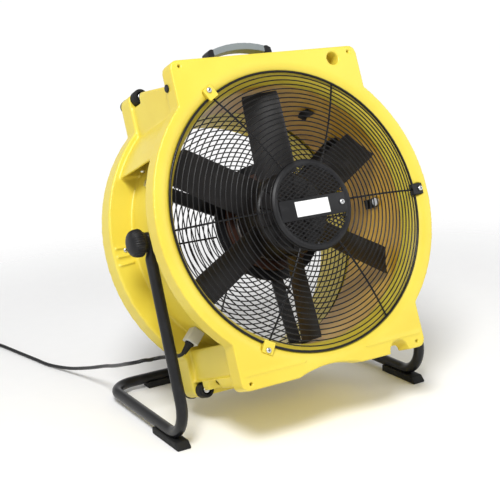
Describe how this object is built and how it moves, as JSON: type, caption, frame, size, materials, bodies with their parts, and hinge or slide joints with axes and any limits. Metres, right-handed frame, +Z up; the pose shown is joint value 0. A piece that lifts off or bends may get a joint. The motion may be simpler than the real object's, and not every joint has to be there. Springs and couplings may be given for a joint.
{
  "type": "air mover",
  "caption": "Floor air mover: a drum fan in a moulded yellow housing with wire guards and a rear hose collar, tilting in a bent tube stand.",
  "frame": {"origin": "on the floor, below the middle of the fan and stand's box, cord left out", "axes": "+Z up, -Y the way the air blows when the fan stands upright, +X to the right of someone who stands behind it"},
  "size_m": [0.761, 0.974, 0.6571],
  "materials": {
    "yellow_shell": "smooth moulded plastic",
    "black_steel": "satin powder coat",
    "black_plastic": "fine moulded texture",
    "white_label": "plain",
    "bright_steel": "zinc plated",
    "cast_aluminium": "as cast",
    "black_rubber": "matt",
    "grey_plastic": "fine moulded texture",
    "black_cable": "smooth sheath"
  },
  "bodies": {
    "stand": {"stand_frame": "black_steel", "front_pad_left": "black_rubber", "front_pad_right": "black_rubber", "rear_pad_left": "black_rubber", "rear_pad_right": "black_rubber", "mains_cord": "black_cable", "cord_coil": "black_cable", "mains_plug": "black_cable"},
    "housing": {"arm_bolt_1": "bright_steel", "arm_bolt_2": "bright_steel", "arm_bolt_3": "bright_steel", "badge_plate": "white_label", "cord_gland": "grey_plastic", "cord_lead": "black_cable", "corner_bolt_bottom_left": "bright_steel", "corner_bolt_bottom_right": "bright_steel", "corner_bolt_top_left": "bright_steel", "corner_bolt_top_right": "bright_steel", "corner_buffer_bottom_left": "black_rubber", "corner_buffer_bottom_right": "black_rubber", "corner_buffer_top_left": "black_rubber", "corner_buffer_top_right": "black_rubber", "corner_foot_bottom_left": "black_rubber", "corner_foot_bottom_right": "black_rubber", "corner_foot_top_left": "black_rubber", "corner_foot_top_right": "black_rubber", "front_bearing": "bright_steel", "front_clip_1": "black_plastic", "front_clip_2": "yellow_shell", "front_clip_3": "yellow_shell", "front_clip_screw_1": "bright_steel", "front_clip_screw_2": "bright_steel", "front_clip_screw_3": "bright_steel", "front_guard": "black_steel", "guard_centre_plate": "black_plastic", "handle_grip": "grey_plastic", "handle_leg_left": "black_plastic", "handle_leg_right": "black_plastic", "housing": "yellow_shell", "motor_arm_1": "black_steel", "motor_arm_2": "black_steel", "motor_arm_3": "black_steel", "motor_stator": "cast_aluminium", "pivot_bolt_left": "bright_steel", "pivot_bolt_right": "bright_steel", "rear_bearing": "bright_steel", "rear_collar": "yellow_shell", "rear_guard": "black_steel"},
    "impeller": {"impeller_hub": "black_plastic", "motor_shaft": "bright_steel", "blade_1": "black_plastic", "blade_2": "black_plastic", "blade_3": "black_plastic", "blade_4": "black_plastic", "blade_5": "black_plastic", "blade_6": "black_plastic"},
    "knob_left": {"tilt_knob_left": "black_plastic"},
    "knob_right": {"tilt_knob_right": "black_plastic"}
  },
  "joints": [
    {"name": "fan_tilt", "type": "hinge", "parent": "stand", "child": "housing", "pos_m": [0, -0.05275, 0.3467], "axis": [-1, 0, 0], "range_deg": [-20, 25]},
    {"name": "impeller_spin", "type": "hinge", "parent": "housing", "child": "impeller", "pos_m": [0, -0.05275, 0.3467], "axis": [0, 0.9397, -0.342], "continuous": true},
    {"name": "knob_turn_left", "type": "hinge", "parent": "housing", "child": "knob_left", "pos_m": [-0.27, -0.05275, 0.3467], "axis": [-1, 0, 0], "range_deg": [0, 720]},
    {"name": "knob_turn_right", "type": "hinge", "parent": "housing", "child": "knob_right", "pos_m": [0.27, -0.05275, 0.3467], "axis": [1, 0, 0], "range_deg": [0, 720]}
  ]
}
